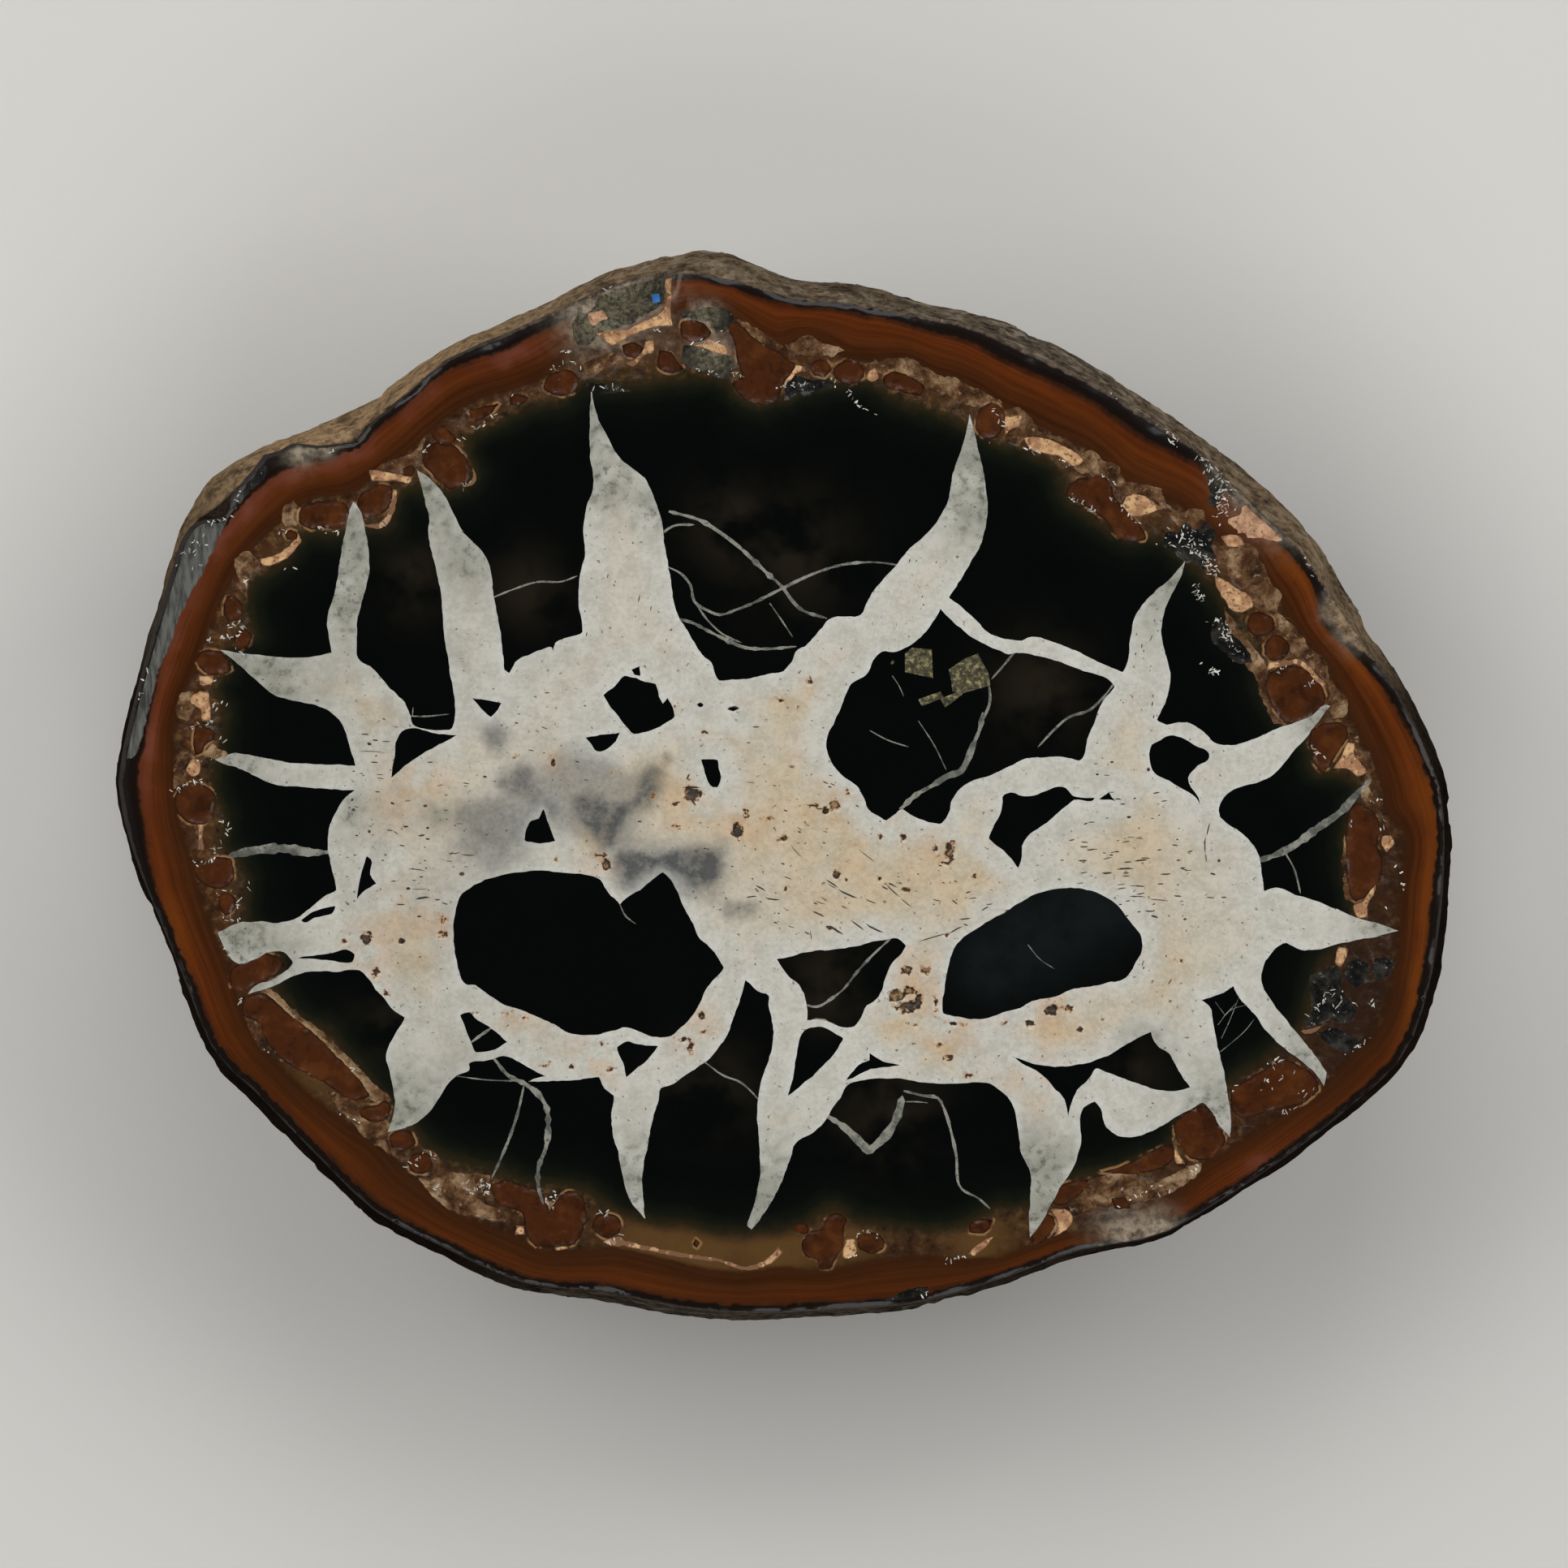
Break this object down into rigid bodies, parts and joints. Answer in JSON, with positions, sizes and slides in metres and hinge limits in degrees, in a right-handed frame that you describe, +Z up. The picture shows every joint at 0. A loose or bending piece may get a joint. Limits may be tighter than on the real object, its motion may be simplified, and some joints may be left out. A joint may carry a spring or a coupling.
{
  "type": "polished septarian nodule",
  "caption": "Thick half of a septarian nodule lying on its rough back, its flat polished cut facing up, black stone with cream calcite veins and an orange-brown rim.",
  "frame": {"origin": "on the surface the stone lies on, under the middle of its box", "axes": "+X along the stone's length, +Y across it towards the side with the large broken hollow, +Z up out of the polished cut"},
  "size_m": [0.1101, 0.0881, 0.036],
  "materials": {
    "stone": "polished on the cut, rough on the natural rind"
  },
  "bodies": {
    "root": {"nodule": "stone"}
  },
  "joints": []
}
